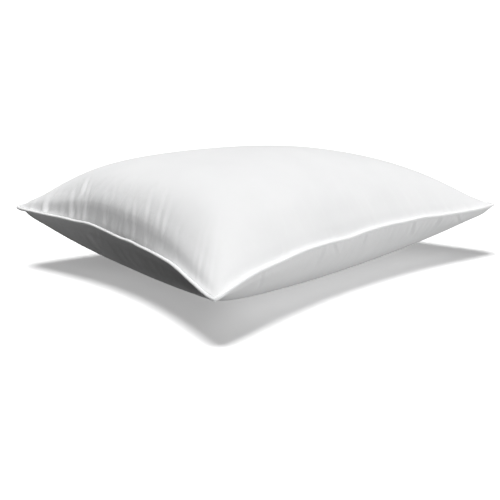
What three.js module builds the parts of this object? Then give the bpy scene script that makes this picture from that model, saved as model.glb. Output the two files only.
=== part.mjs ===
// A corded bed pillow, sewn shut: a percale shell with a piped seam round a three-chamber down filling.
// Millimetres, +Z up: +X along the pillow, +Y across it. The origin is on the surface that the pillow
// lies on, under its middle. Every piece is made from one pair of formulas: plan() for the outline seen
// from above, and seamHeight() for the height of the piped seam.

import * as THREE from 'three';
import { mergeVertices } from 'three/addons/utils/BufferGeometryUtils.js';

// The finished pillow, measured over its piping
const LENGTH = 648;
const WIDTH = 497;
const SEAM_HEIGHT = 85;
const CROWN_RISE = 100;
const BELLY_DROP = 91;

// The outline: rounded corners that stay out while the filling draws the sides in
const END_PULL = 46;
const SIDE_PULL = 43;
const PULL_POWER = 2.45;
const CORNER_CUT = 0.05;
const CORNER_POWER = (1 / CORNER_CUT - 1) / 2;

// How the seam waves: each corner lifts its quarter of the pillow, its flat ear bends on from there,
// and the middle of each side rises
const CORNERS = [
  { u: -1, v: -1, lift: -8, ear: -7 },
  { u: -1, v: 1, lift: 15, ear: 3 },
  { u: 1, v: -1, lift: -2, ear: 2 },
  { u: 1, v: 1, lift: -1, ear: 2 },
];
const LIFT_POWER = 1.5;
const EAR_POWER = 12;
const SIDE_RISE = 5.5;

// How full the pillow is towards its seam: a lower power is a fuller edge. The filling lies a little
// heavier towards one end, and below also towards one side.
const DOME_POWER = 3.15;
const CROWN_FULLNESS = 0.78;
const CROWN_LEAN = { u: -0.06, v: -0.01 };
const BELLY_FULLNESS = 0.56;
const BELLY_LEAN = { u: -0.055, v: 0.065 };

// The piping: a cord in a folded tape, with the tape's two edges sewn into the seam
const CORD_RADIUS = 1.4;
const TAPE_THICKNESS = 0.45;
const TAPE_RADIUS = 2.4;
const TAPE_HALF_GAP = 0.25;
const FLANGE_DEPTH = 5;
const PIPING_CENTRE = 2.9;
const PIPING_REACH = PIPING_CENTRE + TAPE_RADIUS;
const TAPE_ARC_STEPS = 6;

// Cloth, thread and gaps
const CLOTH_THICKNESS = 0.6;
const THREAD_RADIUS = 0.35;
const GAP = 0.3;
const FLANGE_FACE = TAPE_HALF_GAP + TAPE_THICKNESS;
const THREAD_RISE = FLANGE_FACE + GAP + THREAD_RADIUS;
const PANEL_EDGE = THREAD_RISE + THREAD_RADIUS + GAP;
const FILL_GAP = 4;

// The filling: an inner pillow of feathers between two chambers of down
const FILL_SPAN = 0.94;
const CORE_RISE = 42;
const CORE_FULLNESS = 0.55;
const CORE_COLUMNS = 12;
const CORE_ROWS = 10;

// The opening in the end seam, closed by hand after filling, and the care label in the back seam
const OPENING_LENGTH = 180;
const OPENING_STEPS = 16;
const LABEL_WIDTH = 38;
const LABEL_LENGTH = 44;
const LABEL_CENTRE = 120;
const LABEL_THICKNESS = 0.8;
const LABEL_BEND_START = 0.35;
const LABEL_BEND = 0.9;

// The mesh grid
const COLUMNS = 20;
const ROWS = 16;
const RING_STEPS = 2 * (COLUMNS + ROWS);
const RING_SAMPLE = 0.02;
const REACH_SAMPLES = 400;

const HALF_LENGTH = LENGTH / 2 - PIPING_REACH;
const HALF_WIDTH = WIDTH / 2 - PIPING_REACH;

// Grid lines bunch towards the seam, where the surface turns fastest
function spread(s) {
  return Math.sin((Math.PI / 2) * s);
}

// The pillow's plan before it is scaled to its finished size
function drawnIn(u, v) {
  const cut = 1 - CORNER_CUT * Math.abs(u * v) ** CORNER_POWER;
  const along = u * cut;
  const across = v * cut;
  const end = END_PULL * (1 - Math.abs(across) ** PULL_POWER) * along * along;
  const side = SIDE_PULL * (1 - Math.abs(along) ** PULL_POWER) * across * across;
  return new THREE.Vector2(along * (HALF_LENGTH - end), across * (HALF_WIDTH - side));
}

// The furthest that the plan reaches along X and Y, just before its rounded corners
function furthestReach() {
  const reach = new THREE.Vector2();
  for (let i = 0; i <= REACH_SAMPLES; i++) {
    const s = i / REACH_SAMPLES;
    reach.x = Math.max(reach.x, drawnIn(1, s).x);
    reach.y = Math.max(reach.y, drawnIn(s, 1).y);
  }
  return reach;
}

const REACH = furthestReach();

// A place on the pillow seen from above, for u along it and v across it, each from -1 to 1
function plan(u, v) {
  const place = drawnIn(u, v);
  return new THREE.Vector2((place.x * HALF_LENGTH) / REACH.x, (place.y * HALF_WIDTH) / REACH.y);
}

function seamHeight(u, v) {
  let height = SEAM_HEIGHT;
  for (const corner of CORNERS) {
    const nearness = ((1 + corner.u * u) / 2) * ((1 + corner.v * v) / 2);
    height += corner.lift * nearness ** LIFT_POWER + corner.ear * nearness ** EAR_POWER;
  }
  return height + SIDE_RISE * (u * u * (1 - v * v) + v * v * (1 - u * u));
}

function fullness(u, v, power) {
  const along = Math.max(0, 1 - Math.abs(u) ** DOME_POWER);
  const across = Math.max(0, 1 - Math.abs(v) ** DOME_POWER);
  return (along * across) ** power;
}

// How far a surface stands from the seam: its height, set in by a distance from the outer face
function swell(u, v, height, inset, power, lean) {
  const leaning = 1 + lean.u * u + lean.v * v;
  return PANEL_EDGE + (height - PANEL_EDGE - inset) * leaning * fullness(u, v, power);
}

function crown(u, v, inset) {
  return seamHeight(u, v) + swell(u, v, CROWN_RISE, inset, CROWN_FULLNESS, CROWN_LEAN);
}

// The underside is flat where it rests
function belly(u, v, inset) {
  return Math.max(inset, seamHeight(u, v) - swell(u, v, BELLY_DROP, inset, BELLY_FULLNESS, BELLY_LEAN));
}

function coreHeight(s, t, rise) {
  return rise * fullness(s, t, CORE_FULLNESS);
}

// One closed body whose corners are shared, so that its faces join
function closed(geometry) {
  geometry.deleteAttribute('normal');
  geometry.deleteAttribute('uv');
  const merged = mergeVertices(geometry, 1e-3);
  merged.computeVertexNormals();
  return merged;
}

// A box splits the cells of its lower face along the other diagonal than those of its upper face.
// Splitting them alike keeps the two faces of a thin sheet, and layers that lie together, in step.
function matchDiagonals(box) {
  const lower = box.groups[5];
  const index = box.index;
  for (let i = lower.start; i < lower.start + lower.count; i += 6) {
    const [a, b, d, c] = [0, 1, 2, 4].map((corner) => index.getX(i + corner));
    [a, b, c, a, c, d].forEach((vertex, corner) => index.setX(i + corner, vertex));
  }
}

// A box of grid cells, pulled into shape by place(s, t, upper), which gives a THREE.Vector3
function shapedBox(columns, rows, place) {
  const box = new THREE.BoxGeometry(2, 2, 2, columns, rows, 1);
  matchDiagonals(box);
  const position = box.attributes.position;
  for (let i = 0; i < position.count; i++) {
    const point = place(position.getX(i), position.getY(i), position.getZ(i) > 0);
    position.setXYZ(i, point.x, point.y, point.z);
  }
  return closed(box);
}

// A point of a cloth panel: its inner face is set in by the cloth's thickness
function panelPoint(s, t, inner, height) {
  const u = spread(s);
  const v = spread(t);
  const inset = inner ? CLOTH_THICKNESS : 0;
  const point = plan(u, v);
  point.x *= 1 - inset / HALF_LENGTH;
  point.y *= 1 - inset / HALF_WIDTH;
  return new THREE.Vector3(point.x, point.y, height(u, v, inset));
}

function topPanel() {
  return shapedBox(COLUMNS, ROWS, (s, t, upper) => panelPoint(s, t, !upper, crown));
}

function bottomPanel() {
  return shapedBox(COLUMNS, ROWS, (s, t, upper) => panelPoint(s, t, upper, belly));
}

// The filling's grid has the same lines as the inner pillow's, so that the two never cross
function fillPlace(s, t) {
  return { u: FILL_SPAN * spread(s), v: FILL_SPAN * spread(t) };
}

const CORE_PART_U = CORE_COLUMNS / COLUMNS;
const CORE_PART_V = CORE_ROWS / ROWS;
const CORE_U = FILL_SPAN * spread(CORE_PART_U);
const CORE_V = FILL_SPAN * spread(CORE_PART_V);

// A height over the seam's plane that clears the inner pillow
function coreClearance(u, v) {
  const over = coreHeight(u / CORE_U, v / CORE_V, CORE_RISE + FILL_GAP);
  return CLOTH_THICKNESS + 3 * GAP + over;
}

function upperDown() {
  return shapedBox(COLUMNS, ROWS, (s, t, upper) => {
    const { u, v } = fillPlace(s, t);
    const point = plan(u, v);
    const z = upper ? crown(u, v, 0) - FILL_GAP : seamHeight(u, v) + coreClearance(u, v);
    return new THREE.Vector3(point.x, point.y, z);
  });
}

function lowerDown() {
  return shapedBox(COLUMNS, ROWS, (s, t, upper) => {
    const { u, v } = fillPlace(s, t);
    const point = plan(u, v);
    const z = upper
      ? seamHeight(u, v) - coreClearance(u, v)
      : Math.max(FILL_GAP, belly(u, v, 0) + FILL_GAP);
    return new THREE.Vector3(point.x, point.y, z);
  });
}

// A point of the inner pillow, at a signed height over the seam's plane
function corePoint(s, t, inset, height) {
  const { u, v } = fillPlace(s * CORE_PART_U, t * CORE_PART_V);
  const point = plan(u, v).multiplyScalar(1 - inset / (CORE_U * HALF_LENGTH));
  return new THREE.Vector3(point.x, point.y, seamHeight(u, v) + height(u / CORE_U, v / CORE_V));
}

function coreTicking(side) {
  return shapedBox(CORE_COLUMNS, CORE_ROWS, (s, t, upper) => {
    const inner = upper === side < 0;
    const inset = inner ? CLOTH_THICKNESS : 0;
    const height = (a, b) => side * (GAP + coreHeight(a, b, CORE_RISE - inset));
    return corePoint(s, t, inset, height);
  });
}

function featherCore() {
  const inset = CLOTH_THICKNESS + FILL_GAP;
  return shapedBox(CORE_COLUMNS, CORE_ROWS, (s, t, upper) => {
    const side = upper ? 1 : -1;
    const height = (a, b) => side * (GAP + coreHeight(a, b, CORE_RISE - inset));
    return corePoint(s, t, inset, height);
  });
}

// The place on the closed outline at a step of the way round, counter-clockwise from above. Its
// steps are the edge lines of the panels' grid.
function outlinePlace(step) {
  const sides = [
    { steps: COLUMNS, place: (s) => ({ u: s, v: -1 }) },
    { steps: ROWS, place: (s) => ({ u: 1, v: s }) },
    { steps: COLUMNS, place: (s) => ({ u: -s, v: 1 }) },
    { steps: ROWS, place: (s) => ({ u: -1, v: -s }) },
  ];
  let rest = (step + RING_STEPS) % RING_STEPS;
  const side = sides.find(({ steps }) => {
    const here = rest < steps;
    rest -= here ? 0 : steps;
    return here;
  });
  return side.place(spread((2 * rest) / side.steps - 1));
}

// The outline's point and its outward direction, for the shell's seam or for the inner pillow's
function outlineFrame(step, scaleU, scaleV) {
  const at = (k) => {
    const { u, v } = outlinePlace(k);
    return plan(u * scaleU, v * scaleV);
  };
  const ahead = at(step + RING_SAMPLE).sub(at(step - RING_SAMPLE));
  const outward = new THREE.Vector2(ahead.y, -ahead.x).normalize();
  const { u, v } = outlinePlace(step);
  return { point: at(step), outward, height: seamHeight(u * scaleU, v * scaleV) };
}

function besideSeam(frame, reach, rise) {
  const x = frame.point.x + frame.outward.x * reach;
  const y = frame.point.y + frame.outward.y * reach;
  return new THREE.Vector3(x, y, frame.height + rise);
}

// A section of {reach, rise} points swept once round the outline: a lathe's ring, bent into place
function seamRing(section, scaleU = 1, scaleV = 1) {
  const profile = section.map(({ reach, rise }) => new THREE.Vector2(LENGTH + reach, rise));
  profile.push(profile[0].clone());
  const ring = new THREE.LatheGeometry(profile, RING_STEPS);
  const position = ring.attributes.position;
  for (let i = 0; i < position.count; i++) {
    const step = Math.floor(i / profile.length) % RING_STEPS;
    const { reach, rise } = section[(i % profile.length) % section.length];
    const point = besideSeam(outlineFrame(step, scaleU, scaleV), reach, rise);
    position.setXYZ(i, point.x, point.y, point.z);
  }
  return closed(ring);
}

function roundSection(reach, rise, radius, sides) {
  const section = [];
  for (let i = 0; i < sides; i++) {
    const angle = (2 * Math.PI * i) / sides;
    section.push({ reach: reach + radius * Math.cos(angle), rise: rise + radius * Math.sin(angle) });
  }
  return section;
}

// The tape's section: an arc round the cord, open towards the filling, with a flange on each side
function tapeArc(radius, halfGap, steps) {
  const start = Math.PI - Math.asin(halfGap / radius);
  const arc = [];
  for (let i = 0; i <= steps; i++) {
    const angle = start - (2 * start * i) / steps;
    arc.push({ reach: PIPING_CENTRE + radius * Math.cos(angle), rise: radius * Math.sin(angle) });
  }
  return arc;
}

function pipingTape() {
  const section = [
    { reach: -FLANGE_DEPTH, rise: FLANGE_FACE },
    ...tapeArc(TAPE_RADIUS, FLANGE_FACE, TAPE_ARC_STEPS),
    { reach: -FLANGE_DEPTH, rise: -FLANGE_FACE },
    { reach: -FLANGE_DEPTH, rise: -TAPE_HALF_GAP },
    ...tapeArc(TAPE_RADIUS - TAPE_THICKNESS, TAPE_HALF_GAP, TAPE_ARC_STEPS).reverse(),
    { reach: -FLANGE_DEPTH, rise: TAPE_HALF_GAP },
  ];
  return seamRing(section.reverse());
}

function pipingCord() {
  return seamRing(roundSection(PIPING_CENTRE, 0, CORD_RADIUS, 6));
}

// The seam's stitches run inside the shell, one thread over the flange and one under it
function seamThread(side) {
  return seamRing(roundSection(-FLANGE_DEPTH / 2, side * THREAD_RISE, THREAD_RADIUS, 4));
}

function overlockThread() {
  return seamRing(roundSection(-FLANGE_DEPTH - GAP - THREAD_RADIUS, 0, THREAD_RADIUS, 4));
}

function coreSeamThread() {
  return seamRing(roundSection(GAP + THREAD_RADIUS, 0, THREAD_RADIUS, 4), CORE_U, CORE_V);
}

// The slip stitches that close the end seam, in the crease between the piping and the top panel
class ClosingLine extends THREE.Curve {
  getPoint(t) {
    const middle = COLUMNS + ROWS / 2;
    const span = ((2 * ROWS) / Math.PI) * Math.asin(OPENING_LENGTH / WIDTH);
    const frame = outlineFrame(middle + (t - 0.5) * span, 1, 1);
    return besideSeam(frame, PIPING_CENTRE - TAPE_RADIUS, TAPE_RADIUS + 3 * THREAD_RADIUS);
  }
}

function roundShape(radius, sides) {
  const shape = new THREE.Shape();
  for (let i = 0; i <= sides; i++) {
    const angle = (2 * Math.PI * i) / sides;
    const x = radius * Math.cos(angle);
    const y = radius * Math.sin(angle);
    if (i === 0) {
      shape.moveTo(x, y);
    } else {
      shape.lineTo(x, y);
    }
  }
  return shape;
}

function closingThread() {
  const options = { extrudePath: new ClosingLine(), steps: OPENING_STEPS, bevelEnabled: false };
  return closed(new THREE.ExtrudeGeometry(roundShape(THREAD_RADIUS, 6), options));
}

// A folded tab that hangs from under the piping of the back seam and curves down past the belly
function careLabel() {
  const tab = new THREE.BoxGeometry(LABEL_WIDTH, LABEL_LENGTH, LABEL_THICKNESS, 4, 6, 1);
  const position = tab.attributes.position;
  for (let i = 0; i < position.count; i++) {
    const u = (LABEL_CENTRE + position.getX(i)) / HALF_LENGTH;
    const root = plan(u, 1);
    const down = position.getY(i) / LABEL_LENGTH + 0.5;
    const bend = LABEL_BEND_START + LABEL_BEND * down;
    const run = LABEL_LENGTH * down;
    const layer = position.getZ(i);
    const y = root.y + GAP + LABEL_THICKNESS + run * Math.cos(bend) + layer * Math.sin(bend);
    const fall = TAPE_RADIUS + GAP + LABEL_THICKNESS + run * Math.sin(bend) - layer * Math.cos(bend);
    position.setXYZ(i, root.x, y, seamHeight(u, 1) - fall);
  }
  return closed(tab);
}

function material(color, roughness) {
  return new THREE.MeshStandardMaterial({ color, roughness, metalness: 0 });
}

const percale = material(0xf4f4f3, 0.85);
const tapeCloth = material(0xfafaf8, 0.8);
const cord = material(0xeeece4, 0.9);
const thread = material(0xf8f8f6, 0.6);
const coreTick = material(0xeae7df, 0.9);
const down = material(0xf3f1ea, 1);
const feathers = material(0xddd9cf, 1);
const labelCloth = material(0xfbfbfa, 0.7);

const pillow = new THREE.Group();

function add(name, geometry, finish) {
  const mesh = new THREE.Mesh(geometry, finish);
  mesh.name = name;
  pillow.add(mesh);
}

add('top_panel', topPanel(), percale);
add('bottom_panel', bottomPanel(), percale);
add('piping_tape', pipingTape(), tapeCloth);
add('piping_cord', pipingCord(), cord);
add('seam_needle_thread', seamThread(1), thread);
add('seam_bobbin_thread', seamThread(-1), thread);
add('overlock_thread', overlockThread(), thread);
add('closing_thread', closingThread(), thread);
add('upper_down_fill', upperDown(), down);
add('lower_down_fill', lowerDown(), down);
add('core_ticking_top', coreTicking(1), coreTick);
add('core_ticking_bottom', coreTicking(-1), coreTick);
add('core_seam_thread', coreSeamThread(), thread);
add('feather_core', featherCore(), feathers);
add('care_label', careLabel(), labelCloth);

export default pillow;
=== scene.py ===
"""A corded bed pillow: a percale shell, sewn from two flat panels and filled until it stands up by
itself, with its piping, seams, label, inner pillow and loose filling. Metres, in the model's frame.

The shell and the inner pillow are simulated as cloth. Each is two flat grids sewn together round
the edge and blown up to the volume of its filling, while its threads keep the length they were cut to.
"""

import math

import bmesh
import bpy
import numpy as np
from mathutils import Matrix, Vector
from mathutils.bvhtree import BVHTree


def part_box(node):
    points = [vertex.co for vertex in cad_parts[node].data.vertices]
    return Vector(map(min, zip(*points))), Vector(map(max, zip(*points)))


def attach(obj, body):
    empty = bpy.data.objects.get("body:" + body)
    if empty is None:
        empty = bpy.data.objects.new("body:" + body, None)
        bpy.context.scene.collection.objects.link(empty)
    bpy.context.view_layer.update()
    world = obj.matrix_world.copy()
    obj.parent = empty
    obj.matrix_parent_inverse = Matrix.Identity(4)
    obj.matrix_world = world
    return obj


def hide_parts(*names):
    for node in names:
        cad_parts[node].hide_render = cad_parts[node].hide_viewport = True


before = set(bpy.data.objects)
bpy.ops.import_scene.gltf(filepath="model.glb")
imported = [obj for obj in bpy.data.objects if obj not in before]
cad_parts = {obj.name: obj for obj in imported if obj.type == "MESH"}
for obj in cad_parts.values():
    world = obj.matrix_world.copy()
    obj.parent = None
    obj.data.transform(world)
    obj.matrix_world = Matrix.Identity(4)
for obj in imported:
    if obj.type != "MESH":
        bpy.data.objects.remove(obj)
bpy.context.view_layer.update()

# ---------------------------------------------------------------- sizes

MM = 0.001
PIPING_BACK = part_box("piping_tape")[1][1]
HALF_LENGTH, HALF_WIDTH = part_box("top_panel")[1][:2]

# The shell, seam to seam when flat, and what the seam takes of the cloth
SHELL_LENGTH = 660 * MM
SHELL_WIDTH = 508 * MM
ALLOWANCE = 10 * MM
CORNER_CUT = 0.04
CORNER_POWER = (1 / CORNER_CUT - 1) / 2
CORNER_FADE = 30 * MM
SHELL_VOLUME = 0.034
SEAM_HEIGHT = 85 * MM

# The ticking of the inner pillow
CORE_LENGTH = 510 * MM
CORE_WIDTH = 400 * MM
CORE_VOLUME = 0.0092

# How the filled pillow lies: each corner lifts its quarter, and its flat ear bends on from there
CORNERS = [
    {"u": -1, "v": -1, "lift": -16.2 * MM, "ear": -9.6 * MM},
    {"u": -1, "v": 1, "lift": 8.2 * MM, "ear": 5.2 * MM},
    {"u": 1, "v": -1, "lift": -1.1 * MM, "ear": 0.9 * MM},
    {"u": 1, "v": 1, "lift": -1.0 * MM, "ear": 2.0 * MM},
]
LIFT_POWER = 1.5
EAR_POWER = 12
FLAT_POWER = 7.4
SIDE_RISE = 3.9 * MM
CROWN = {"scale": 0.970, "u": -0.077, "v": -0.025, "fullness": 0.27, "flat": 0.85}
BELLY = {"scale": 1.036, "u": -0.037, "v": 0.030, "fullness": 0.30, "flat": 0.25}
END_PULL = 20.9 * MM
SIDE_PULL = 11.6 * MM
END_FULLNESS = 0.42
END_SLANT = 0.15
MARGIN = 13 * MM
MARGIN_HOLD = 0.6
CALMING = 10

# How the stiff piping wanders up and down: how many waves round the pillow, their height and phase
SEAM_WAVES = [(9, 1.1 * MM, 1.0), (17, 0.55 * MM, 2.2), (31, 0.25 * MM, 0.5)]
WAVE_POWER = 6

# Creases in the panels, drawn by the seam, a row for each side: the panel (0 is the top), the side,
# how many, between which shares of the side, how deep (mm), between which lengths (mm), how far
# they lean along the side, and how much that varies
CREASES = [
    (0, "u-", 36, (-0.97, 0.85), 1.5, (35, 110), 0.5, 0.15),
    (0, "v-", 12, (-0.98, 0.9), 0.6, (20, 45), 0, 0.2),
    (0, "u+", 26, (-0.9, 0.95), 1.1, (20, 60), 0, 0.2),
    (0, "v+", 26, (-0.95, 0.95), 1.0, (20, 60), 0, 0.2),
    (1, "u-", 10, (-0.9, 0.9), 0.4, (20, 40), 0, 0.3),
    (1, "v-", 14, (-0.7, 0.85), 2.2, (25, 60), 0.3, 0.5),
    (1, "u+", 18, (-0.9, 0.9), 0.8, (20, 50), 0, 0.2),
    (1, "v+", 26, (-0.9, 0.9), 0.9, (20, 50), 0, 0.2),
]
CREASE_WIDTH = (2.4, 4.2)
CREASE_DEPTH_RANGE = (0.2, 1.4)
CREASE_FAN = 0.35
CREASE_BEND = 1.5 * MM

# The ridge beside each crease: its height as a share of the depth, and its place and width as
# shares of the crease's width
RIDGE_SHARE = 0.6
RIDGE_PLACE = 1.7
RIDGE_WIDTH = 1.1

# The cloth simulation starts on a coarse grid and halves its cells until it reaches the fine one
COARSE_COLUMNS = 56
COARSE_ROWS = 43
LEVELS = 3
STEPS_A_LEVEL = 240
SHEAR = 0.25
BENDING = 0.06
PRESSURE = 0.9
DAMPING = 0.97
PIPING_STIFFNESS = 0.5
PIPING_REACH = 12 * MM
UNEVENNESS = 0.6 * MM
SEED = 3

# The plain form it starts from: its height, how square and how full it is, and how far its sides
# are drawn in at the middle and at the corners, as shares of their flat half lengths
SHELL_START = 94 * MM
CORE_START = 45 * MM
START_SQUARENESS = 2.6
START_CROWN = 0.58
START_BELLY = 0.5
START_BELLY_SHARE = 0.9
START_ENDS = (0.92, 0.067)
START_SIDES = (0.87, 0.11)

# The seam, measured outward from it and up from its middle
CLOTH = 0.35 * MM
FOLD_RISE = 1.8 * MM
SPREAD_REACH = 3.5 * ALLOWANCE
SPREAD_FADE = 2.3 * ALLOWANCE
TAPE_CENTRE = 2.9 * MM
TAPE_RADIUS = 2.4 * MM
TAPE_THICKNESS = 0.45 * MM
TAPE_HALF_GAP = 0.2 * MM
FLANGE_DEPTH = 9 * MM
CORD_RADIUS = 1.6 * MM
THREAD_RADIUS = 0.2 * MM
STITCH = 2.5 * MM
STRAND_DEPTH = 0.14
OVERLOCK_STITCH = 3 * MM
OVERLOCK_REACH = 2.2 * MM
OVERLOCK_RISE = 1.3 * MM
OVERLOCK_RADIUS = 0.15 * MM
CLOSING_STITCHES = 56
HEAVY_THREAD_RADIUS = 0.3 * MM

# The label, folded in half
LABEL_HALF_WIDTH = 19 * MM
LABEL_THICKNESS = 0.2 * MM
LABEL_STEPS = 22
LABEL_STEP = 2.6
LABEL_SLOPE = math.radians(35)
LABEL_BEND = math.radians(3.6)
LABEL_HANG = math.radians(84)

# The filling: how far it stays inside the shell's edge, its least thickness, and what share of the
# inner pillow's length, width and height the feathers take
FILL_INSET = 17 * MM
LEAST_FILL = 0.6 * MM
FEATHER_SHARE = (0.965, 0.955, 0.93)
LUMPS = 1.2 * MM
TICKING_RISE = 0.4 * MM


# ---------------------------------------------------------------- cloth simulation

def unit(vectors):
    """The vectors at length 1."""
    return vectors / np.maximum(np.linalg.norm(vectors, axis=-1, keepdims=True), 1e-9)


def flat_cloth(columns, rows, length, width):
    """A grid of flat cloth: (rows + 1, columns + 1, 2)."""
    x = np.linspace(-length / 2, length / 2, columns + 1)
    y = np.linspace(-width / 2, width / 2, rows + 1)
    return np.stack(np.meshgrid(x, y), axis=-1)


def cloth_links(flat):
    """The threads and stiffness of a grid of cloth: (near, far, rest length, stiffness), in groups
    whose points don't overlap. The first index of each end is the panel."""
    rows, columns = flat.shape[:2]
    every = slice(None)
    groups = []

    def link(near, far, stiffness):
        rest = np.sqrt(((flat[far] - flat[near]) ** 2).sum(axis=-1))[..., None]
        groups.append(((every,) + near, (every,) + far, rest, stiffness))

    for first in (0, 1):
        link((every, slice(first, columns - 1, 2)), (every, slice(first + 1, columns, 2)), 1.0)
        link((slice(first, rows - 1, 2), every), (slice(first + 1, rows, 2), every), 1.0)
    for first in (0, 1):
        near = slice(first, rows - 1, 2)
        far = slice(first + 1, rows, 2)
        link((near, slice(0, columns - 1)), (far, slice(1, columns)), SHEAR)
        link((near, slice(1, columns)), (far, slice(0, columns - 1)), SHEAR)
    for first in range(4):
        link((every, slice(first, columns - 2, 4)), (every, slice(first + 2, columns, 4)), BENDING)
        link((slice(first, rows - 2, 4), every), (slice(first + 2, rows, 4), every), BENDING)
    return groups


def keep_lengths(form, groups):
    """Pull every link of the cloth towards its rest length."""
    for near, far, rest, stiffness in groups:
        gap = form[far] - form[near]
        length = np.sqrt(np.einsum("...i,...i->...", gap, gap))[..., None]
        move = 0.5 * stiffness * (1 - rest / np.maximum(length, 1e-9)) * gap
        form[near] += move
        form[far] -= move


EDGES = ((0, slice(None)), (-1, slice(None)), (slice(None), 0), (slice(None), -1))


def sew(form):
    """Join the two panels round their edges."""
    for edge in EDGES:
        middle = (form[(0,) + edge] + form[(1,) + edge]) / 2
        form[(0,) + edge] = middle
        form[(1,) + edge] = middle


def stiffen_seam(form, hop):
    """The piping resists sharp bends of the seam."""
    for edge in EDGES:
        line = form[(0,) + edge].copy()
        middle = (line[: -2 * hop] + line[2 * hop :]) / 2
        line[hop:-hop] += PIPING_STIFFNESS * (middle - line[hop:-hop])
        form[(0,) + edge] = line
        form[(1,) + edge] = line


def outward(form):
    """The outward direction at each point, as long as the area of cloth that it stands for."""
    made = np.cross(np.gradient(form, axis=2), np.gradient(form, axis=1))
    made[1] *= -1
    return made


def enclosed(form):
    """The volume between the two panels."""
    a, b, c, d = form[:, :-1, :-1], form[:, :-1, 1:], form[:, 1:, 1:], form[:, 1:, :-1]
    parts = np.einsum("...i,...i->...", a, np.cross(b, c) + np.cross(c, d))
    return (parts[0].sum() - parts[1].sum()) / 6


def spread(cells, rise):
    """Where evenly spaced points of flat cloth lie across a crowned form, from -1 to 1."""
    x = np.linspace(-1, 1, 4001)
    z = rise * np.maximum(1 - np.abs(x) ** START_SQUARENESS, 0) ** START_CROWN
    run = np.concatenate([[0], np.cumsum(np.hypot(np.diff(x), np.diff(z)))])
    return np.interp(np.linspace(0, run[-1], cells + 1), run, x)


def first_form(flat, height):
    """A plain crowned form to start from: both panels, over and under the seam."""
    rows, columns = flat.shape[:2]
    half_length, half_width = flat[:, -1, 0].max(), flat[-1, :, 1].max()
    along = spread(columns - 1, height / half_length)
    across = spread(rows - 1, height / half_width)
    u, v = np.meshgrid(along, across)
    full = (1 - np.abs(u) ** START_SQUARENESS) * (1 - np.abs(v) ** START_SQUARENESS)
    full = np.maximum(full, 0)
    x = u * half_length * (START_ENDS[0] + START_ENDS[1] * v ** 4)
    y = v * half_width * (START_SIDES[0] + START_SIDES[1] * u ** 4)
    return np.stack([
        np.stack([x, y, height * full ** START_CROWN], axis=-1),
        np.stack([x, y, -START_BELLY_SHARE * height * full ** START_BELLY], axis=-1),
    ])


def settle(form, flat, volume, steps, floor):
    """Let the cloth find its form round that volume, with its seam at height 0."""
    groups = cloth_links(flat)
    cell = 2 * flat[:, -1, 0].max() / (flat.shape[1] - 1)
    area = cell * 2 * flat[-1, :, 1].max() / (flat.shape[0] - 1)
    hop = max(1, round(PIPING_REACH / cell))
    last = form.copy()
    for _ in range(steps):
        drift = (form - last) * DAMPING
        last = form.copy()
        push = PRESSURE * cell * (volume / enclosed(form) - 1)
        form = form + drift + outward(form) / area * push
        keep_lengths(form, groups)
        sew(form)
        stiffen_seam(form, hop)
        form[..., 2] = np.maximum(form[..., 2], floor)
        seam = np.concatenate([form[(0,) + edge][..., 2] for edge in EDGES])
        form[..., 2] -= 0.5 * seam.mean()
        form[..., :2] -= 0.5 * form[..., :2].mean(axis=(0, 1, 2))
    return form


def refine(form):
    """Halve the cells of the grid."""
    panels, rows, columns, _ = form.shape
    made = np.zeros((panels, 2 * rows - 1, 2 * columns - 1, 3))
    made[:, ::2, ::2] = form
    made[:, 1::2, ::2] = (form[:, :-1] + form[:, 1:]) / 2
    made[:, :, 1::2] = (made[:, :, :-2:2] + made[:, :, 2::2]) / 2
    return made


def inflate(length, width, volume, height, levels, steps, floor, seed):
    """Two flat panels sewn together and filled: their points, (2, rows, columns, 3), with the seam
    at height 0, and the flat place of each point."""
    draw = np.random.default_rng(seed)
    columns, rows = COARSE_COLUMNS, COARSE_ROWS
    flat = flat_cloth(columns, rows, length, width)
    form = first_form(flat, height)
    for level in range(levels):
        if level:
            columns, rows = 2 * columns, 2 * rows
            flat = flat_cloth(columns, rows, length, width)
            form = refine(form)
        form += draw.normal(size=form.shape) * UNEVENNESS / 2 ** level
        sew(form)
        form = settle(form, flat, volume, steps, floor)
    return round_corners(form), flat


def round_corners(form):
    """Draw the seam round each corner, where the square cloth ran to a point, and close it there."""
    rows, columns = form.shape[1:3]
    u, v = np.meshgrid(np.linspace(-1, 1, columns), np.linspace(-1, 1, rows))
    keep = 1 - CORNER_CUT * np.abs(u * v) ** CORNER_POWER
    x = (1 + u * keep) / 2 * (columns - 1)
    y = (1 + v * keep) / 2 * (rows - 1)
    left = np.minimum(x.astype(int), columns - 2)
    low = np.minimum(y.astype(int), rows - 2)
    across = (x - left)[..., None]
    along = (y - low)[..., None]
    below = form[:, low, left] * (1 - across) + form[:, low, left + 1] * across
    above = form[:, low + 1, left] * (1 - across) + form[:, low + 1, left + 1] * across
    made = below * (1 - along) + above * along
    reach = max(2, round(CORNER_FADE / SHELL_LENGTH * columns))
    fade = (1 - np.arange(reach) / reach) ** 2
    for grid in (made, made.transpose(0, 2, 1, 3)):
        for lines, edge in ((grid[:, :reach], 0), (grid[:, ::-1][:, :reach], -1)):
            gap = (grid[0, edge] - grid[1, edge]).copy()
            lines[0] -= gap / 2 * fade[:, None, None]
            lines[1] += gap / 2 * fade[:, None, None]
    return made


def near_corner(u, v, corner):
    """1 at the corner, down to 0 at the two sides across from it."""
    return (1 + corner["u"] * u) / 2 * (1 + corner["v"] * v) / 2


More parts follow.
